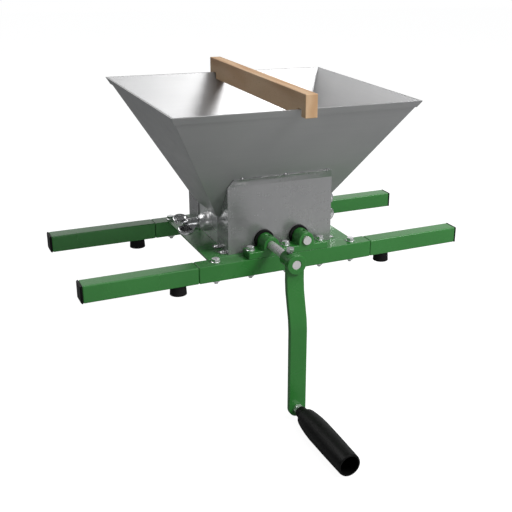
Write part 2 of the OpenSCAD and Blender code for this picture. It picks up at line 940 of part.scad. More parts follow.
// Children are drawn for the front right bearing at y = 0, and go to the bearing of these signs
module at_bearing(x_sign, y_sign) {
    mirror([0, y_sign > 0 ? 1 : 0, 0])
        translate([0, -rail_y, 0])
            mirror([x_sign < 0 ? 1 : 0, 0, 0])
                children();
}

// A block: bolted base, round boss along Y and half a bolt notch where the pair meets
module bearing_block(x_sign, y_sign) {
    inner_x = block_gap / 2;
    outer_x = ear_bolt_x + ear_end;
    hole_h = ear_h + 2 * cut_over;
    color(green)
        at_bearing(x_sign, y_sign)
            difference() {
                union() {
                    translate([inner_x, -tube_w / 2, deck_z])
                        cube([outer_x - inner_x, tube_w, ear_h]);
                    translate([shaft_x - boss_r, -tube_w / 2, deck_z])
                        cube([2 * boss_r, tube_w, shaft_h]);
                    translate([shaft_x, 0, shaft_z])
                        rod_y(boss_r, -tube_w / 2, tube_w / 2);
                }
                translate([shaft_x, 0, shaft_z]) {
                    rod_y(bush_r, bush_lip - tube_w / 2, tube_w / 2 + cut_over);
                    rod_y(shaft_r + seal_gap, -tube_w / 2 - cut_over, tube_w / 2);
                }
                for (x = [0, ear_bolt_x])
                    translate([x, 0, deck_z - cut_over])
                        cylinder(r = bolt_r + bolt_gap, h = hole_h, $fn = round_fn);
                translate([shaft_x, 0, shaft_z]) {
                    cylinder(r = oil_hole_r, h = boss_r + cut_over, $fn = round_fn);
                    translate([0, 0, boss_r - oil_sink_h])
                        cylinder(r = oil_sink_r, h = oil_sink_h + cut_over, $fn = round_fn);
                }
            }
}

module bushes() {
    color(bronze)
        for (s = corner_signs)
            at_bearing(s[0], s[1])
                translate([shaft_x, 0, shaft_z])
                    difference() {
                        rod_y(bush_r, bush_lip - tube_w / 2, tube_w / 2);
                        rod_y(shaft_r + run_gap, -tube_w / 2, tube_w / 2 + cut_over);
                    }
}

// Black rings that close the gap between the panels and the bearing blocks
module seal_rings() {
    color(black)
        for (x_sign = [-1, 1], y_sign = [-1, 1])
            mirror([0, y_sign > 0 ? 1 : 0, 0])
                translate([x_sign * shaft_x, 0, shaft_z])
                    difference() {
                        rod_y(seal_r, -rail_in_y, -box_y);
                        rod_y(shaft_r + seal_gap, -rail_in_y - cut_over, cut_over - box_y);
                    }
}

module block_bolts() {
    color(zinc)
        at_block_bolts()
            bolt_down(deck_z + ear_h);
}

module block_nuts() {
    color(zinc)
        at_block_bolts()
            nut_below(tube_z);
}

// Shafts, rollers and gears, each drawn about its own axis and placed by its sign of x

module at_shaft(x_sign) {
    translate([x_sign * shaft_x, 0, shaft_z])
        children();
}

// Children go to the grip's axis
module at_grip() {
    translate([-shaft_x, 0, grip_z])
        children();
}

module shaft(front_y) {
    color(zinc)
        rod_y(shaft_r, -front_y, shaft_rear_y);
}

module roller_core() {
    slot_w = knife_t + 2 * slot_gap;
    slot_h = core_r - knife_root_r + cut_over;
    half_l = roller_l / 2;
    color(alloy)
        difference() {
            rod_y(core_r, -half_l, half_l);
            rod_y(shaft_r, -half_l - cut_over, half_l + cut_over);
            for (i = [0 : knife_count - 1])
                rotate([0, i * 360 / knife_count, 0])
                    translate([-slot_w / 2, -half_l - cut_over, knife_root_r])
                        cube([slot_w, roller_l + 2 * cut_over, slot_h]);
        }
}

// One saw-toothed strip, drawn as [y, z] with z the distance from the roller's axis
module knife_strip() {
    half_l = roller_l / 2;
    teeth = floor(roller_l / tooth_pitch);
    start = -teeth * tooth_pitch / 2;
    gullet_z = knife_tip_r - notch_h;
    half_edge = knife_edge_w / 2;
    crown = [for (i = [0 : teeth - 1], p = [
        [0, gullet_z],
        [tooth_pitch / 2 - half_edge, knife_tip_r],
        [tooth_pitch / 2 + half_edge, knife_tip_r]
    ]) [start + i * tooth_pitch + p[0], p[1]]];
    along_x(-knife_t / 2, knife_t / 2)
        polygon(concat(
            [[half_l, gullet_z], [half_l, knife_root_r], [-half_l, knife_root_r], [-half_l, gullet_z]],
            crown,
            [[start + teeth * tooth_pitch, gullet_z]]
        ));
}

module knives(turn) {
    color(zinc)
        for (i = [0 : knife_count - 1])
            rotate([0, turn + i * 360 / knife_count, 0])
                knife_strip();
}

// Angle of the involute at radius r, in degrees
function involute(r) = tan(acos(gear_base_r / r)) * 180 / PI - acos(gear_base_r / r);

// Half the angle of a tooth at radius r
function tooth_half(r) =
    90 / gear_teeth - gear_play / 2 / gear_pitch_r * 180 / PI
    + involute(gear_pitch_r) - involute(r);

function polar(r, a) = [r * cos(a), r * sin(a)];

function tooth_points(a) = concat(
    [polar(gear_root_r, a - tooth_half(flank_low_r))],
    [for (r = flank_radii) polar(r, a - tooth_half(r))],
    [for (i = [flank_steps : -1 : 0]) polar(flank_radii[i], a + tooth_half(flank_radii[i]))],
    [polar(gear_root_r, a + tooth_half(flank_low_r))]
);

// A spur gear with its hub towards the bearing and lightening holes between hub and teeth
module gear(turn) {
    hole_ring_r = (gear_hub_r + gear_root_r) / 2;
    color(alloy)
        difference() {
            union() {
                along_y(gear_y, gear_y + gear_w)
                    polygon([for (i = [0 : gear_teeth - 1])
                        for (p = tooth_points(turn + i * 360 / gear_teeth)) p]);
                rod_y(gear_hub_r, gear_hub_y, gear_y);
            }
            rod_y(shaft_r, gear_hub_y - cut_over, gear_y + gear_w + cut_over);
            for (i = [0 : gear_hole_count - 1])
                rotate([0, (i + 1 / 2) * 360 / gear_hole_count, 0])
                    translate([hole_ring_r, 0, 0])
                        rod_y(gear_hole_r, gear_y - cut_over, gear_y + gear_w + cut_over);
            translate([0, gear_hub_y + gear_hub_l / 2, 0])
                cylinder(r = gear_screw_d / 2, h = gear_hub_r + cut_over, $fn = round_fn);
        }
}

// The grub screw that holds a gear on its shaft
module gear_screw() {
    color(zinc)
        translate([0, gear_hub_y + gear_hub_l / 2, shaft_r])
            cylinder(r = gear_screw_d / 2, h = gear_hub_r - shaft_r, $fn = round_fn);
}

// Crank

module crank_hub() {
    color(green)
        at_shaft(-1)
            difference() {
                union() {
                    rod_y(hub_r, -disc_front_y, -hub_rear_y);
                    rod_y(disc_r, -disc_front_y, -arm_front_y);
                }
                rod_y(shaft_r, -disc_front_y - cut_over, cut_over - hub_rear_y);
                translate([0, -screw_y, 0])
                    cylinder(r = hub_screw_d / 2, h = hub_r + cut_over, $fn = round_fn);
            }
}

module hub_screw() {
    shank_l = hub_r - shaft_r + hub_screw_stand;
    color(zinc)
        at_shaft(-1)
            translate([0, -screw_y, shaft_r])
                union() {
                    cylinder(r = hub_screw_d / 2, h = shank_l, $fn = round_fn);
                    translate([0, 0, shank_l])
                        hex(bolt_flats, bolt_head_h);
                }
}

// The flat arm: its bent side profile, trimmed to a rounded outline
module crank_arm() {
    end_r = arm_w / 2;
    top_z = shaft_z + disc_r;
    low_z = grip_z - end_r;
    bend = [for (i = [0 : len(jog_height_shares) - 1])
        [jog_set_shares[i] * arm_jog, jog_top_z - jog_height_shares[i] * jog_h]];
    front = [for (p = bend) [-arm_front_y - p[0], p[1]]];
    rear = [for (i = [len(bend) - 1 : -1 : 0]) [-arm_rear_y - bend[i][0], bend[i][1]]];
    color(green)
        difference() {
            intersection() {
                along_x(-shaft_x - disc_r, disc_r - shaft_x)
                    polygon(concat(
                        [[-arm_front_y, top_z]], front, [[-lower_front_y, low_z]],
                        [[-lower_rear_y, low_z]], rear, [[-arm_rear_y, top_z]]
                    ));
                translate([-shaft_x, 0, 0])
                    along_y(-lower_front_y - cut_over, cut_over - arm_rear_y)
                        union() {
                            translate([0, shaft_z])
                                circle(r = disc_r, $fn = round_fn);
                            translate([-end_r, grip_z])
                                square([arm_w, crank_r]);
                            translate([0, grip_z])
                                circle(r = end_r, $fn = round_fn);
                        }
            }
            at_shaft(-1)
                rod_y(hub_r, -arm_front_y - cut_over, cut_over - arm_rear_y);
            translate([-shaft_x, 0, grip_z])
                rod_y(grip_bolt_r, -lower_front_y - cut_over, cut_over - lower_rear_y);
        }
}

// A hexagon along Y
module hex_y(flats, y_low, y_high) {
    translate([0, y_high, 0])
        rotate([90, 0, 0])
            hex(flats, y_high - y_low);
}

// The bolt runs from a head inside the grip, through the arm, to a nut behind it
module grip_bolt() {
    web_front_y = grip_rear_y + web_t;
    head_y = web_front_y + body_gap;
    color(zinc)
        at_grip()
            union() {
                hex_y(grip_head_flats, -head_y - grip_head_h, -head_y);
                rod_y(grip_bolt_r, -head_y, bolt_tail + grip_nut_h - lower_rear_y);
            }
}

module grip_nuts() {
    places = [
        [-lower_front_y - grip_nut_h, -lower_front_y],
        [-jam_nut_y - grip_nut_h, -jam_nut_y],
        [-lower_rear_y, grip_nut_h - lower_rear_y]
    ];
    color(zinc)
        at_grip()
            for (p = places)
                difference() {
                    hex_y(grip_head_flats, p[0], p[1]);
                    rod_y(grip_bolt_r, p[0] - cut_over, p[1] + cut_over);
                }
}

// The hollow black grip, open at its far end, with a web that the bolt's head holds
module grip() {
    gain = grip_wide_r - shoulder_r;
    head_r = grip_head_flats / sqrt(3) + body_gap;
    stations = [for (i = [0 : len(grip_length_shares) - 1]) [
        shoulder_r + grip_radius_shares[i] * gain,
        neck_l + grip_length_shares[i] * grip_body_l
    ]];
    hollow = [for (i = [len(stations) - 1 : -1 : 1]) [stations[i][0] - grip_wall, stations[i][1]]];
    color(black)
        at_grip()
            translate([0, -grip_rear_y, 0])
                rotate([90, 0, 0])
                    rotate_extrude($fn = round_fn)
                        polygon(concat(
                            [[grip_bolt_r + grip_gap, 0], [neck_r, 0], [neck_r + neck_flare, neck_l]],
                            stations,
                            hollow,
                            [[head_r, web_t + grip_head_h + neck_l]],
                            [[head_r, web_t], [grip_bolt_r + grip_gap, web_t]]
                        ));
}

// Wood bar across the mouth, notched over the front and back walls

module wood_bar() {
    notch_run = end_run * bar_notch / slope_h;
    notch_out = mouth_y + end_hem_w + bar_notch_gap;
    notch_in = mouth_y - end_wall_w - notch_run - bar_notch_gap;
    low_z = bar_top_z - bar_h;
    color(wood)
        difference() {
            translate([-bar_w / 2, -bar_end_y, low_z])
                cube([bar_w, 2 * bar_end_y, bar_h]);
            for (y_sign = [-1, 1])
                mirror([0, y_sign < 0 ? 1 : 0, 0])
                    translate([-bar_w / 2 - cut_over, notch_in, low_z - cut_over])
                        cube([bar_w + 2 * cut_over, notch_out - notch_in, bar_notch + cut_over]);
        }
}

center_tube(-1);  // center_tube_front
center_tube(1);  // center_tube_rear
base_plate();
leg(-1, -1);  // leg_front_left
leg(1, -1);  // leg_front_right
leg(-1, 1);  // leg_rear_left
leg(1, 1);  // leg_rear_right
end_cap(-1, -1);  // cap_front_left
end_cap(1, -1);  // cap_front_right
end_cap(-1, 1);  // cap_rear_left
end_cap(1, 1);  // cap_rear_right
foot(-1, -1);  // foot_front_left
foot(1, -1);  // foot_front_right
foot(-1, 1);  // foot_rear_left
foot(1, 1);  // foot_rear_right
foot_screws();
leg_bolts();
leg_nuts();
bearing_block(-1, -1);  // block_front_left
bearing_block(1, -1);  // block_front_right
bearing_block(-1, 1);  // block_rear_left
bearing_block(1, 1);  // block_rear_right
bushes();
seal_rings();
block_bolts();
block_nuts();
panel();  // front_panel
mirror([0, 1, 0]) panel();  // rear_panel
side_cover();  // side_cover_left
mirror([1, 0, 0]) side_cover();  // side_cover_right
rivets();
hopper_end();  // hopper_front
mirror([0, 1, 0]) hopper_end();  // hopper_rear
hopper_side();  // hopper_left
mirror([1, 0, 0]) hopper_side();  // hopper_right
guide_plate();  // guide_plate_left
mirror([1, 0, 0]) guide_plate();  // guide_plate_right
stud_washers();
wing_nut(-1, wing_angle_left);  // wing_nut_left
wing_nut(1, wing_angle_right);  // wing_nut_right
at_shaft(-1) shaft(disc_front_y - shaft_sink);  // drive_shaft
at_shaft(-1) roller_core();  // drive_roller
at_shaft(-1) knives(0);  // drive_knives
at_shaft(-1) gear(0);  // drive_gear
at_shaft(-1) gear_screw();  // drive_gear_screw
at_shaft(1) shaft(idler_front_y);  // idler_shaft
at_shaft(1) rotate([0, half_knife_angle, 0]) roller_core();  // idler_roller
at_shaft(1) knives(half_knife_angle);  // idler_knives
at_shaft(1) gear(half_tooth_angle);  // idler_gear
at_shaft(1) gear_screw();  // idler_gear_screw
crank_hub();
crank_arm();
hub_screw();
grip_bolt();
grip_nuts();
grip();
wood_bar();
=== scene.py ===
"""Looks of the apple scratter: materials, finer fasteners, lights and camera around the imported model."""

import json
import math

import bmesh
import bpy
from mathutils import Matrix, Vector


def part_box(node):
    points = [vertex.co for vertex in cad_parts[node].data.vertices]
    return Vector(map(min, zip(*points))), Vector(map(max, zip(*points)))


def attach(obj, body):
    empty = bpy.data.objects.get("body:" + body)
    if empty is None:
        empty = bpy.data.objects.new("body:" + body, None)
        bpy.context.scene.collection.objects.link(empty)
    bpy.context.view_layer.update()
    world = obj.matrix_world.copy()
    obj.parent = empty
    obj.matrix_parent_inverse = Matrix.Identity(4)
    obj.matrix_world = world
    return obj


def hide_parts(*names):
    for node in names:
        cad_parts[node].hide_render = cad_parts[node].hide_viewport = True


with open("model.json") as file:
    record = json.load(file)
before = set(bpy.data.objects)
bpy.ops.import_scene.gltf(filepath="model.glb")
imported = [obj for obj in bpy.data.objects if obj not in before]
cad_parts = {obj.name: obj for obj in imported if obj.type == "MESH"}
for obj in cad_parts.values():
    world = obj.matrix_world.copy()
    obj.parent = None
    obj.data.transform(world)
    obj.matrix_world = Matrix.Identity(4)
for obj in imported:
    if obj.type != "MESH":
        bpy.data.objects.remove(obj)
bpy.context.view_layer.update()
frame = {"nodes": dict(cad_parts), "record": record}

MM = 0.001

# Frame fasteners
BOLT_FLATS = 10 * MM
BOLT_R = 3 * MM
BOLT_HEAD_H = 4.5 * MM
FLANGE_H = 1.2 * MM
FLANGE_R = 6.5 * MM
THREAD_PITCH = 1 * MM
STUD_PITCH = 1.5 * MM

# Rows of bolts along X and Y
LEG_BOLT_COUNTS = (2, 2)
BLOCK_BOLT_COUNTS = (3, 2)

# Grip fasteners
GRIP_FLATS = 13 * MM
GRIP_BOLT_R = 4 * MM
GRIP_NUT_H = 5 * MM
GRIP_NUT_GAP = 0.3 * MM
GRIP_HEAD_H = 5 * MM
GRIP_PITCH = 1.25 * MM

# Facets and turned corners of the drawn fasteners, with the crease's angle in degrees
RING_STEPS = 48
THREAD_STEPS_PER_TURN = 6
THREAD_DEPTH_SHARE = 0.6
CHAMFER_SHARE = 0.95
CHAMFER_SLOPE = math.tan(math.radians(30))
FLANGE_EDGE_SHARE = 1 / 3
CREASE_ANGLE = 28

# Rounding of edges, with angles in degrees
TUBE_ROUND = 1.8 * MM
CAST_ROUND = 1.1 * MM
WING_ROUND = 1.4 * MM
BAR_ROUND = 1.0 * MM
PLATE_ROUND = 0.6 * MM
SHEET_ROUND = 0.3 * MM
WELD_GAP = 0.001 * MM
FLAT_ANGLE = 0.5
SHARP_ANGLE = 40
ROUND_STEPS = 3

# The photograph's camera, fitted in the object's frame
IMAGE_PX = 512
FOCAL_PX = 832.8
CENTRE_PX = (340.5, 246.1)
CAMERA_PLACE = Vector((-489.0, -1143.5, 478.3)) * MM
CAMERA_YAW = math.radians(29.186)
CAMERA_PITCH = math.radians(20.493)
CAMERA_ROLL = math.radians(-2.031)
SENSOR_W = 36.0

# Studio in metres and watts: each light has its name, place, width, height and power
WHITE = (1.0, 1.0, 1.0, 1.0)
FILL_COLOR = (0.93, 0.97, 1.0, 1.0)
FILL_STRENGTH = 0.19
ROOM_STRENGTH = 0.06
LIGHT_AIM = (0, 0, 0.1)
LIGHTS = (
    ("key", (1.3, -1.6, 1.9), 0.9, 0.9, 50),
    ("top", (0.4, -0.1, 2.0), 2.0, 1.6, 17),
    ("front", (0.1, -2.4, 0.4), 1.6, 0.6, 7),
)
REFLECTED_LIGHTS = (
    ("backdrop", (0.6, 3.0, 0.9), 6.0, 2.2, 34),
    ("rim", (-1.2, 1.1, 1.7), 1.6, 1.2, 30),
)
FLOOR_HALF = 6.0
FLOOR_COLOR = (0.42, 0.42, 0.42, 1.0)
FLOOR_SHADOW_COLOR = (0.22, 0.22, 0.22, 1.0)
FLOOR_GLOW = 0.95


class Shader:
    """One material's nodes: each method adds a node and returns the socket that carries its result."""

    # Sockets of the mix node that carry its share, its two colours and its result
    MIX_SHARE, MIX_FIRST, MIX_SECOND = 0, 6, 7
    MIX_RESULT = 2

    def __init__(self, name, constants):
        self.material = bpy.data.materials.new(name)
        self.material.use_nodes = True
        self.tree = self.material.node_tree
        self.bsdf = self.tree.nodes["Principled BSDF"]
        for socket, value in constants.items():
            self.bsdf.inputs[socket].default_value = value
        self.coords = self.node("ShaderNodeTexCoord").outputs["Object"]

    def node(self, kind, inputs=None, **settings):
        made = self.tree.nodes.new(kind)
        for setting, value in settings.items():
            setattr(made, setting, value)
        for key, value in (inputs or {}).items():
            self.feed(made.inputs[key], value)
        return made

    def feed(self, socket, value):
        if isinstance(value, bpy.types.NodeSocket):
            self.tree.links.new(value, socket)
        else:
            socket.default_value = value

    def stretched(self, scale):
        """Object coordinates multiplied by one number for each axis."""
        return self.node("ShaderNodeMapping", {"Vector": self.coords, "Scale": scale}).outputs["Vector"]

    def noise(self, scale=1.0, detail=3.0, vector=None):
        inputs = {"Vector": vector or self.coords, "Scale": scale, "Detail": detail}
        return self.node("ShaderNodeTexNoise", inputs).outputs["Fac"]

    def spread(self, value, source, target=(0.0, 1.0)):
        """The value's place within the source range, carried over to the target range."""
        inputs = {
            "Value": value,
            "From Min": source[0],
            "From Max": source[1],
            "To Min": target[0],
            "To Max": target[1],
        }
        return self.node("ShaderNodeMapRange", inputs, clamp=True).outputs["Result"]

    def mix(self, share, first, second):
        made = self.node("ShaderNodeMix", data_type="RGBA")
        self.feed(made.inputs[self.MIX_SHARE], share)
        self.feed(made.inputs[self.MIX_FIRST], first)
        self.feed(made.inputs[self.MIX_SECOND], second)
        return made.outputs[self.MIX_RESULT]

    def math(self, operation, first, second=0.0):
        made = self.node("ShaderNodeMath", operation=operation)
        self.feed(made.inputs[0], first)
        self.feed(made.inputs[1], second)
        return made.outputs[0]

    def blend(self, first, second, second_share):
        """A weighted sum of two values."""
        first_part = self.math("MULTIPLY", first, 1.0 - second_share)
        return self.math("ADD", first_part, self.math("MULTIPLY", second, second_share))

    def axis(self, letter):
        return self.node("ShaderNodeSeparateXYZ", {"Vector": self.coords}).outputs[letter]

    def bump(self, height, depth, strength=1.0, under=None):
        inputs = {"Height": height, "Distance": depth, "Strength": strength}
        if under is not None:
            inputs["Normal"] = under
        return self.node("ShaderNodeBump", inputs).outputs["Normal"]

    def edge_light(self, source=(0.52, 0.6)):
        """A share that rises on convex edges."""
        pointy = self.node("ShaderNodeNewGeometry").outputs["Pointiness"]
        return self.spread(pointy, source)

    def finish(self, color, roughness, normal):
        for socket, value in (("Base Color", color), ("Roughness", roughness), ("Normal", normal)):
            self.feed(self.bsdf.inputs[socket], value)
        return self.material


def rgb(red, green, blue):
    return (red, green, blue, 1.0)


def grey(tone):
    return rgb(tone, tone, tone)


# Ranges of a noise's value: most of it, and its middle
WIDE = (0.3, 0.7)
MIDDLE = (0.35, 0.65)

# Metallic share of satin steel, the grain's share beside the clouds, and the dust's brightness
SATIN = 0.6
GRAIN_SHARE = 0.2
DUST_GAIN = 2.2

# Stretches of a noise that give sheet steel level or upright streaks
STREAKS_LEVEL = (5.0, 5.0, 320.0)
STREAKS_UPRIGHT = (320.0, 320.0, 5.0)


def powder_coat():
    """Glossy green powder coat with orange peel, slight clouding and a painted highlight that lightens its
    convex edges.
    """
    s = Shader("green powder coat", {"Specular IOR Level": 0.5})
    cloud = s.noise(scale=9.0, detail=4.0)
    deep = rgb(0.024, 0.180, 0.027)
    pale = rgb(0.032, 0.212, 0.035)
    edge_highlight = rgb(0.09, 0.29, 0.10)
    edge_highlight_share = 0.35
    coat = s.mix(s.spread(cloud, MIDDLE), deep, pale)
    # Painted highlight: convex edges are mixed towards a paler green.
    coat = s.mix(s.math("MULTIPLY", s.edge_light(), edge_highlight_share), coat, edge_highlight)
    peel = s.bump(s.noise(scale=420.0, detail=2.0), depth=0.12 * MM)
    normal = s.bump(s.noise(scale=1900.0, detail=2.0), depth=0.03 * MM, under=peel)
    return s.finish(coat, s.spread(cloud, WIDE, target=(0.24, 0.32)), normal)


def sheet_steel(name, light, dark, gloss, streaks, metallic=1.0):
    """Rolled stainless sheet: faint grain along one axis, cloudy handling marks and a slow waviness."""
    s = Shader(name, {"Metallic": metallic, "Anisotropic": 0.2})
    grain = s.noise(detail=2.0, vector=s.stretched(streaks))
    cloud = s.noise(scale=7.0, detail=4.0)
    smear = s.noise(scale=30.0, vector=s.stretched((1.0, 1.0, 2.4)))
    color = s.mix(s.spread(s.blend(cloud, grain, GRAIN_SHARE), MIDDLE), dark, light)
    rough = s.spread(s.blend(smear, grain, GRAIN_SHARE), MIDDLE, target=gloss)
    waves = s.bump(s.noise(scale=5.0, detail=1.0), depth=1.0 * MM, strength=0.6)
    return s.finish(color, rough, waves)


def zinc_steel():
    """Bright zinc plate, a little uneven in tone."""
    s = Shader("bright zinc", {"Metallic": 0.8})
    cloud = s.noise(scale=140.0)
    color = s.mix(cloud, rgb(0.64, 0.65, 0.67), rgb(0.90, 0.90, 0.89))
    normal = s.bump(s.noise(scale=700.0, detail=2.0), depth=0.03 * MM)
    return s.finish(color, s.spread(cloud, WIDE, target=(0.16, 0.3)), normal)


def turned_steel(name, light, dark, pitch, gloss, metallic=1.0):
    """Metal turned about Y: fine rings along the axis over a cloudy tone."""
    s = Shader(name, {"Metallic": metallic, "Anisotropic": 0.4})
    rings = s.noise(scale=1.0 / pitch, detail=2.0, vector=s.stretched((0.02, 1.0, 0.02)))
    cloud = s.noise(scale=30.0, detail=4.0)
    normal = s.bump(rings, depth=0.04 * MM)
    return s.finish(s.mix(cloud, dark, light), s.spread(cloud, WIDE, target=gloss), normal)


def threaded_steel():
    """Sheet steel of the guide plates, whose welded stud carries a thread along X."""
    s = Shader("guide plate steel", {"Metallic": 1.0})
    stud_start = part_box("stud_washers")[1].x
    place = s.axis("X")
    cloud = s.noise(scale=20.0, detail=4.0)
    ridge = s.math("DIVIDE", s.math("PINGPONG", place, STUD_PITCH / 2), STUD_PITCH / 2)
    outside = s.math("GREATER_THAN", s.math("ABSOLUTE", place), stud_start)
    color = s.mix(cloud, rgb(0.36, 0.36, 0.37), rgb(0.55, 0.55, 0.56))
    normal = s.bump(s.math("MULTIPLY", ridge, outside), depth=0.5 * MM)
    return s.finish(color, s.spread(cloud, WIDE, target=(0.22, 0.36)), normal)


def matt_black(name, tone, grain_scale, grain_depth, gloss):
    """Moulded plastic or rubber with a fine grain and pale dust where it was handled."""
    s = Shader(name, {"Specular IOR Level": 0.12})
    dust = s.noise(scale=24.0, detail=5.0)
    color = s.mix(s.spread(dust, source=(0.45, 0.8)), grey(tone), grey(DUST_GAIN * tone))
    normal = s.bump(s.noise(grain_scale), grain_depth)
    return s.finish(color, s.spread(dust, WIDE, target=gloss), normal)


def beech():
    """Planed beech: long growth lines along Y with short dark flecks."""
    s = Shader("planed beech", {"Specular IOR Level": 0.35})
    bend = s.noise(scale=5.0, detail=2.0, vector=s.stretched((3.0, 0.6, 3.0)))
    bend_turns = 9.0
    ring_density = 160.0
    wave_number = 2.2
    rings = s.math("MULTIPLY", s.axis("X"), ring_density)
    sheets = s.math("ADD", rings, s.math("MULTIPLY", bend, bend_turns))
    lines = s.math("SINE", s.math("MULTIPLY", sheets, wave_number))
    fleck = s.noise(vector=s.stretched((900.0, 90.0, 900.0)))
    pores = s.noise(vector=s.stretched((2600.0, 60.0, 2600.0)))
    patch = s.noise(scale=8.0)
    wood = s.mix(s.spread(lines, source=(-1.0, 1.0)), rgb(0.53, 0.30, 0.15), rgb(0.66, 0.43, 0.25))
    fleck_share = s.spread(fleck, source=(0.58, 0.75), target=(0.0, 0.55))
    wood = s.mix(fleck_share, wood, rgb(0.33, 0.19, 0.085))
    patch_share = s.spread(patch, source=(0.4, 0.7), target=(0.0, 0.4))
    wood = s.mix(patch_share, wood, rgb(0.68, 0.52, 0.33))
    normal = s.bump(pores, depth=0.08 * MM)
    return s.finish(wood, s.spread(pores, WIDE, target=(0.5, 0.66)), normal)


COAT = powder_coat()
PANEL_STEEL = sheet_steel(
    "panel steel",
    light=rgb(0.42, 0.42, 0.42),
    dark=rgb(0.37, 0.37, 0.375),
    gloss=(0.22, 0.3),
    streaks=STREAKS_UPRIGHT,
    metallic=SATIN,
)
HOPPER_STEEL = sheet_steel(
    "hopper steel",
    light=rgb(0.45, 0.45, 0.45),
    dark=rgb(0.40, 0.40, 0.405),
    gloss=(0.34, 0.4),
    streaks=STREAKS_LEVEL,
    metallic=SATIN,
)
# The side covers use the hopper's stainless painted much lighter, as a painted highlight that brightens
# their domes.
BRIGHTENED_COVER_STEEL = sheet_steel(
    "cover steel painted light",
    light=rgb(0.80, 0.80, 0.80),
    dark=rgb(0.70, 0.70, 0.705),
    gloss=(0.26, 0.34),
    streaks=STREAKS_LEVEL,
    metallic=SATIN,
)
KNIFE_STEEL = sheet_steel(
    "knife steel",
    light=rgb(0.66, 0.66, 0.67),
    dark=rgb(0.5, 0.5, 0.51),
    gloss=(0.16, 0.28),
    streaks=STREAKS_LEVEL,
)
ZINC = zinc_steel()
SHAFT_STEEL = turned_steel(
    "shaft steel",
    light=rgb(0.88, 0.87, 0.86),
    dark=rgb(0.74, 0.73, 0.73),
    pitch=0.35 * MM,
    gloss=(0.2, 0.32),
    metallic=SATIN,
)
ROLLER_ALLOY = turned_steel(
    "roller alloy",
    light=rgb(0.70, 0.71, 0.72),
    dark=rgb(0.55, 0.56, 0.57),
    pitch=0.8 * MM,
    gloss=(0.3, 0.42),
)
GEAR_STEEL = turned_steel(
    "gear steel",
    light=rgb(0.42, 0.41, 0.40),
    dark=rgb(0.26, 0.25, 0.25),
    pitch=0.6 * MM,
    gloss=(0.3, 0.42),
)
BRONZE = turned_steel(
    "bush bronze",
    light=rgb(0.62, 0.42, 0.20),
    dark=rgb(0.45, 0.29, 0.13),
    pitch=0.4 * MM,
    gloss=(0.28, 0.4),
)
GUIDE_STEEL = threaded_steel()
PLASTIC = matt_black(
    "black moulded plastic",
    tone=0.004,
    grain_scale=1500.0,
    grain_depth=0.06 * MM,
    gloss=(0.42, 0.54),
)
RUBBER = matt_black(
    "black rubber",
    tone=0.008,
    grain_scale=800.0,
    grain_depth=0.1 * MM,
    gloss=(0.6, 0.72),
)
BEECH = beech()

BY_SLOT = {
    "green_coat": COAT,
    "stainless": HOPPER_STEEL,
    "zinc": ZINC,
    "cast_alloy": ROLLER_ALLOY,
    "bronze": BRONZE,
    "black_plastic": PLASTIC,
    "black_rubber": RUBBER,
    "beech": BEECH,
}
BY_NODE = {
    "front_panel": PANEL_STEEL,
    "rear_panel": PANEL_STEEL,
    "side_cover_left": BRIGHTENED_COVER_STEEL,
    "side_cover_right": BRIGHTENED_COVER_STEEL,
    "guide_plate_left": GUIDE_STEEL,
    "guide_plate_right": GUIDE_STEEL,
    "drive_knives": KNIFE_STEEL,
    "idler_knives": KNIFE_STEEL,
    "wing_nut_left": ZINC,
    "wing_nut_right": ZINC,
    "rivets": ZINC,
    "drive_shaft": SHAFT_STEEL,
    "idler_shaft": SHAFT_STEEL,
    "drive_gear": GEAR_STEEL,
    "idler_gear": GEAR_STEEL,
}


def slot_of(node):
    for entry in frame["record"]["subparts"]:
        if entry["node"] == node:
            return entry["material_slot"]
    raise KeyError(node)


def paint(obj, material):
    obj.data.materials.clear()
    obj.data.materials.append(material)


def round_edges(obj, width):
    """Welds the imported mesh and rounds its sharp edges, with flat faces kept flat."""
    weld = obj.modifiers.new("weld", "WELD")
    weld.merge_threshold = WELD_GAP
    flat = obj.modifiers.new("flat faces", "DECIMATE")
    flat.decimate_type = "DISSOLVE"
    flat.angle_limit = math.radians(FLAT_ANGLE)
    bevel = obj.modifiers.new("bevel", "BEVEL")
    bevel.width = width
    bevel.segments = ROUND_STEPS
    bevel.limit_method = "ANGLE"
    bevel.angle_limit = math.radians(SHARP_ANGLE)
    bevel.use_clamp_overlap = False
    bevel.miter_outer = "MITER_ARC"
    normals = obj.modifiers.new("normals", "WEIGHTED_NORMAL")
    normals.keep_sharp = False


def loft(bm, rings):
    """Skins a row of rings that hold equal numbers of points, and closes both ends."""
    rows = [[bm.verts.new(point) for point in ring] for ring in rings]
    for low, high in zip(rows, rows[1:]):
        for i in range(len(low)):
            j = (i + 1) % len(low)
            bm.faces.new((low[i], low[j], high[j], high[i]))
    bm.faces.new(list(reversed(rows[0])))
    bm.faces.new(rows[-1])


def ring(radius_at, height_at):
    """Points of one ring about Z; radius and height may depend on the angle."""
    points = []
    for i in range(RING_STEPS):
        angle = 2 * math.pi * i / RING_STEPS
        radius = radius_at(angle)
        points.append(Vector((radius * math.cos(angle), radius * math.sin(angle), height_at(angle))))
    return points


def hex_radius(flats, angle):
    """Radius of a hexagon with the given width across flats, with corners at 0, 60 and so on."""
    side = math.radians(60)
    return flats / 2 / math.cos(angle % side - side / 2)


def hexagon(bm, flats, low, high, both_ends=False):
    """A hexagonal head or nut along Z whose corners are turned down at its top, or at both ends."""
    round_r = CHAMFER_SHARE * flats / 2

    def drop(angle):
        return (hex_radius(flats, angle) - round_r) * CHAMFER_SLOPE

    full = [
        ring(lambda a: hex_radius(flats, a), lambda a: low + (drop(a) if both_ends else 0)),
        ring(lambda a: hex_radius(flats, a), lambda a: high - drop(a)),
        ring(lambda a: round_r, lambda a: high),
    ]
    if both_ends:
        full.insert(0, ring(lambda a: round_r, lambda a: low))
    loft(bm, full)


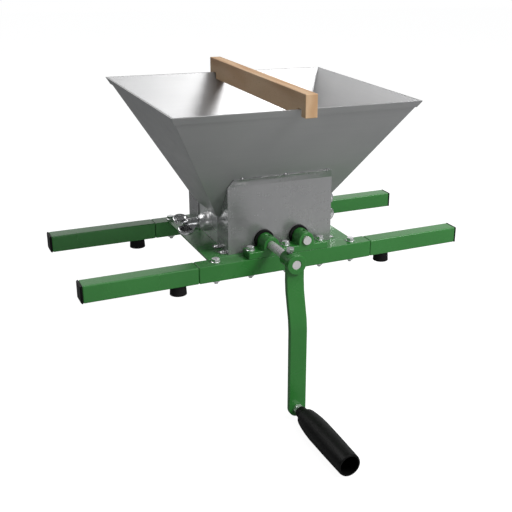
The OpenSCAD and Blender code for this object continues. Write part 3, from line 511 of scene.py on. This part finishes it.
def disc(bm, radius, low, high):
    """A flat round flange with a small turned edge at its top."""
    edge = FLANGE_EDGE_SHARE * (high - low)
    loft(bm, [
        ring(lambda a: radius, lambda a: low),
        ring(lambda a: radius, lambda a: high - edge),
        ring(lambda a: radius - edge, lambda a: high),
    ])


def thread(bm, radius, low, high, pitch):
    """A rod along Z with a helical thread and a tapered tip at its low end."""
    depth = THREAD_DEPTH_SHARE * pitch
    rows = max(2, int((high - low) / pitch * THREAD_STEPS_PER_TURN))
    rings = []
    for row in range(rows + 1):
        z = low + (high - low) * row / rows
        tip = min(1.0, (z - low) / pitch)

        def radius_at(angle, z=z, tip=tip):
            turn = (z / pitch - angle / (2 * math.pi)) % 1.0
            return radius - depth * (1 - tip) - depth * tip * abs(2 * turn - 1)

        rings.append(ring(radius_at, lambda a, z=z: z))
    loft(bm, rings)


def piece(name, build, places, turn, material, body, *nodes):
    """One object made of copies of what build draws about Z, in place of the named CAD nodes."""
    bm = bmesh.new()
    for place in places:
        part = bmesh.new()
        build(part)
        bmesh.ops.transform(part, matrix=Matrix.Translation(place) @ turn, verts=part.verts)
        mesh = bpy.data.meshes.new("part")
        part.to_mesh(mesh)
        bm.from_mesh(mesh)
        bpy.data.meshes.remove(mesh)
        part.free()
    bmesh.ops.recalc_face_normals(bm, faces=bm.faces)
    data = bpy.data.meshes.new(name)
    bm.to_mesh(data)
    bm.free()
    obj = bpy.data.objects.new(name, data)
    bpy.context.scene.collection.objects.link(obj)
    paint(obj, material)
    data.shade_smooth()
    data.set_sharp_from_angle(angle=math.radians(CREASE_ANGLE))
    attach(obj, body)
    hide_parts(*nodes)


ALONG_FRONT = Matrix.Rotation(math.radians(90), 4, "X")


def spaced(first, last, count):
    return [first + (last - first) * i / (count - 1) for i in range(count)]


def middles(node, margin, counts):
    """Middles of equal pieces in rows along X and Y whose outer edges touch the CAD node's box."""
    low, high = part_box(node)
    xs = spaced(low.x + margin, high.x - margin, counts[0])
    ys = spaced(low.y + margin, high.y - margin, counts[1])
    return [Vector((x, y, 0)) for x in xs for y in ys]


def frame_bolts(node, nut_node, counts):
    """Flanged hexagon bolts standing on their seats, with a thread that shows below their nuts."""
    low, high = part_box(node)
    nut_low, nut_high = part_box(nut_node)
    places = middles(node, FLANGE_R, counts)
    seat = high.z - BOLT_HEAD_H - FLANGE_H

    def build(bm):
        hexagon(bm, BOLT_FLATS, seat + FLANGE_H, high.z)
        disc(bm, FLANGE_R, seat, seat + FLANGE_H)
        thread(bm, BOLT_R, low.z, seat, THREAD_PITCH)

    def build_nut(bm):
        hexagon(bm, BOLT_FLATS, nut_low.z, nut_high.z, both_ends=True)

    piece("fine_" + node, build, places, Matrix.Identity(4), ZINC, "mill", node)
    piece("fine_" + nut_node, build_nut, places, Matrix.Identity(4), ZINC, "mill", nut_node)


def hub_screw():
    low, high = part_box("hub_screw")
    place = Vector(((low.x + high.x) / 2, (low.y + high.y) / 2, 0))

    def build(bm):
        hexagon(bm, BOLT_FLATS, high.z - BOLT_HEAD_H, high.z)
        thread(bm, BOLT_R, low.z, high.z - BOLT_HEAD_H, THREAD_PITCH)

    piece("fine_hub_screw", build, [place], Matrix.Identity(4), ZINC, "crank", "hub_screw")


def grip_fasteners():
    """The grip's bolt and its three nuts, drawn about Z with z counted towards the front."""
    low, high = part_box("grip_nuts")
    bolt_low, bolt_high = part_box("grip_bolt")
    axis = Vector(((low.x + high.x) / 2, 0, (low.z + high.z) / 2))
    nut_tops = [-low.y, -low.y - GRIP_NUT_H - GRIP_NUT_GAP, -high.y + GRIP_NUT_H]

    def build_nuts(bm):
        for top in nut_tops:
            hexagon(bm, GRIP_FLATS, top - GRIP_NUT_H, top, both_ends=True)

    def build_bolt(bm):
        thread(bm, GRIP_BOLT_R, -bolt_high.y, -bolt_low.y - GRIP_HEAD_H, GRIP_PITCH)
        hexagon(bm, GRIP_FLATS, -bolt_low.y - GRIP_HEAD_H, -bolt_low.y)

    piece("fine_grip_nuts", build_nuts, [axis], ALONG_FRONT, ZINC, "crank", "grip_nuts")
    piece("fine_grip_bolt", build_bolt, [axis], ALONG_FRONT, ZINC, "crank", "grip_bolt")


frame_bolts("leg_bolts", "leg_nuts", LEG_BOLT_COUNTS)
frame_bolts("block_bolts", "block_nuts", BLOCK_BOLT_COUNTS)
hub_screw()
grip_fasteners()

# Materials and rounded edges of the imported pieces
ROUNDINGS = {
    "center_tube": TUBE_ROUND,
    "leg_front": TUBE_ROUND,
    "leg_rear": TUBE_ROUND,
    "block_front": CAST_ROUND,
    "block_rear": CAST_ROUND,
    "crank": CAST_ROUND,
    "wing_nut": WING_ROUND,
    "wood_bar": BAR_ROUND,
    "base_plate": PLATE_ROUND,
}

for name, obj in frame["nodes"].items():
    paint(obj, BY_NODE.get(name, BY_SLOT[slot_of(name)]))
    widths = [width for start, width in ROUNDINGS.items() if name.startswith(start)]
    round_edges(obj, widths[0] if widths else SHEET_ROUND)


# Studio
def area_light(name, place, width, height, power):
    data = bpy.data.lights.new(name, "AREA")
    data.shape = "RECTANGLE"
    data.size = width
    data.size_y = height
    data.energy = power
    light = bpy.data.objects.new(name, data)
    light.location = place
    light.visible_camera = False
    light.rotation_euler = (Vector(LIGHT_AIM) - Vector(place)).to_track_quat("-Z", "Y").to_euler()
    bpy.context.scene.collection.objects.link(light)
    return light


def studio():
    """White for the camera, a dim room with a white backdrop in reflections, and a soft fill."""
    world = bpy.data.worlds.new("studio")
    bpy.context.scene.world = world
    world.use_nodes = True
    tree = world.node_tree
    tree.nodes.clear()
    out = tree.nodes.new("ShaderNodeOutputWorld")
    rays = tree.nodes.new("ShaderNodeLightPath")
    shades = []
    for color, strength in ((FILL_COLOR, FILL_STRENGTH), (FILL_COLOR, ROOM_STRENGTH), (WHITE, 1.0)):
        shade = tree.nodes.new("ShaderNodeBackground")
        shade.inputs["Color"].default_value = color
        shade.inputs["Strength"].default_value = strength
        shades.append(shade.outputs[0])
    result = shades[0]
    for ray, shade in (("Is Glossy Ray", shades[1]), ("Is Camera Ray", shades[2])):
        mixer = tree.nodes.new("ShaderNodeMixShader")
        tree.links.new(rays.outputs[ray], mixer.inputs[0])
        tree.links.new(result, mixer.inputs[1])
        tree.links.new(shade, mixer.inputs[2])
        result = mixer.outputs[0]
    tree.links.new(result, out.inputs["Surface"])
    for name, place, width, height, power in LIGHTS:
        area_light(name, place, width, height, power)
    for name, place, width, height, power in REFLECTED_LIGHTS:
        area_light(name, place, width, height, power).visible_diffuse = False


def floor():
    """A pale floor at the grip's lowest point, white to the camera where no shadow falls."""
    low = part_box("grip")[0].z
    mesh = bpy.data.meshes.new("floor")
    corners = [(-1, -1), (1, -1), (1, 1), (-1, 1)]
    mesh.from_pydata([(x * FLOOR_HALF, y * FLOOR_HALF, low) for x, y in corners], [], [(0, 1, 2, 3)])
    obj = bpy.data.objects.new("floor", mesh)
    bpy.context.scene.collection.objects.link(obj)
    material = bpy.data.materials.new("floor")
    material.use_nodes = True
    tree = material.node_tree
    tree.nodes.clear()
    out = tree.nodes.new("ShaderNodeOutputMaterial")
    rays = tree.nodes.new("ShaderNodeLightPath")
    table = tree.nodes.new("ShaderNodeBsdfDiffuse")
    table.inputs["Color"].default_value = FLOOR_COLOR
    shadow = tree.nodes.new("ShaderNodeBsdfDiffuse")
    shadow.inputs["Color"].default_value = FLOOR_SHADOW_COLOR
    glow = tree.nodes.new("ShaderNodeEmission")
    glow.inputs["Strength"].default_value = FLOOR_GLOW
    seen = tree.nodes.new("ShaderNodeAddShader")
    mixer = tree.nodes.new("ShaderNodeMixShader")
    tree.links.new(shadow.outputs[0], seen.inputs[0])
    tree.links.new(glow.outputs[0], seen.inputs[1])
    tree.links.new(rays.outputs["Is Camera Ray"], mixer.inputs[0])
    tree.links.new(table.outputs[0], mixer.inputs[1])
    tree.links.new(seen.outputs[0], mixer.inputs[2])
    tree.links.new(mixer.outputs[0], out.inputs["Surface"])
    mesh.materials.append(material)


def camera():
    sin_yaw, cos_yaw = math.sin(CAMERA_YAW), math.cos(CAMERA_YAW)
    sin_pitch, cos_pitch = math.sin(CAMERA_PITCH), math.cos(CAMERA_PITCH)
    forward = Vector((sin_yaw * cos_pitch, cos_yaw * cos_pitch, -sin_pitch))
    level = Vector((cos_yaw, -sin_yaw, 0))
    down = forward.cross(level)
    right = math.cos(CAMERA_ROLL) * level + math.sin(CAMERA_ROLL) * down
    low = -math.sin(CAMERA_ROLL) * level + math.cos(CAMERA_ROLL) * down
    data = bpy.data.cameras.new("camera")
    data.sensor_fit = "HORIZONTAL"
    data.sensor_width = SENSOR_W
    data.lens = FOCAL_PX * SENSOR_W / IMAGE_PX
    data.shift_x = (IMAGE_PX / 2 - CENTRE_PX[0]) / IMAGE_PX
    data.shift_y = (CENTRE_PX[1] - IMAGE_PX / 2) / IMAGE_PX
    obj = bpy.data.objects.new("camera", data)
    turn = Matrix((right, -low, -forward)).transposed()
    obj.matrix_world = Matrix.Translation(CAMERA_PLACE) @ turn.to_4x4()
    bpy.context.scene.collection.objects.link(obj)
    bpy.context.scene.camera = obj


studio()
floor()
camera()
bpy.context.scene.view_settings.view_transform = "Standard"
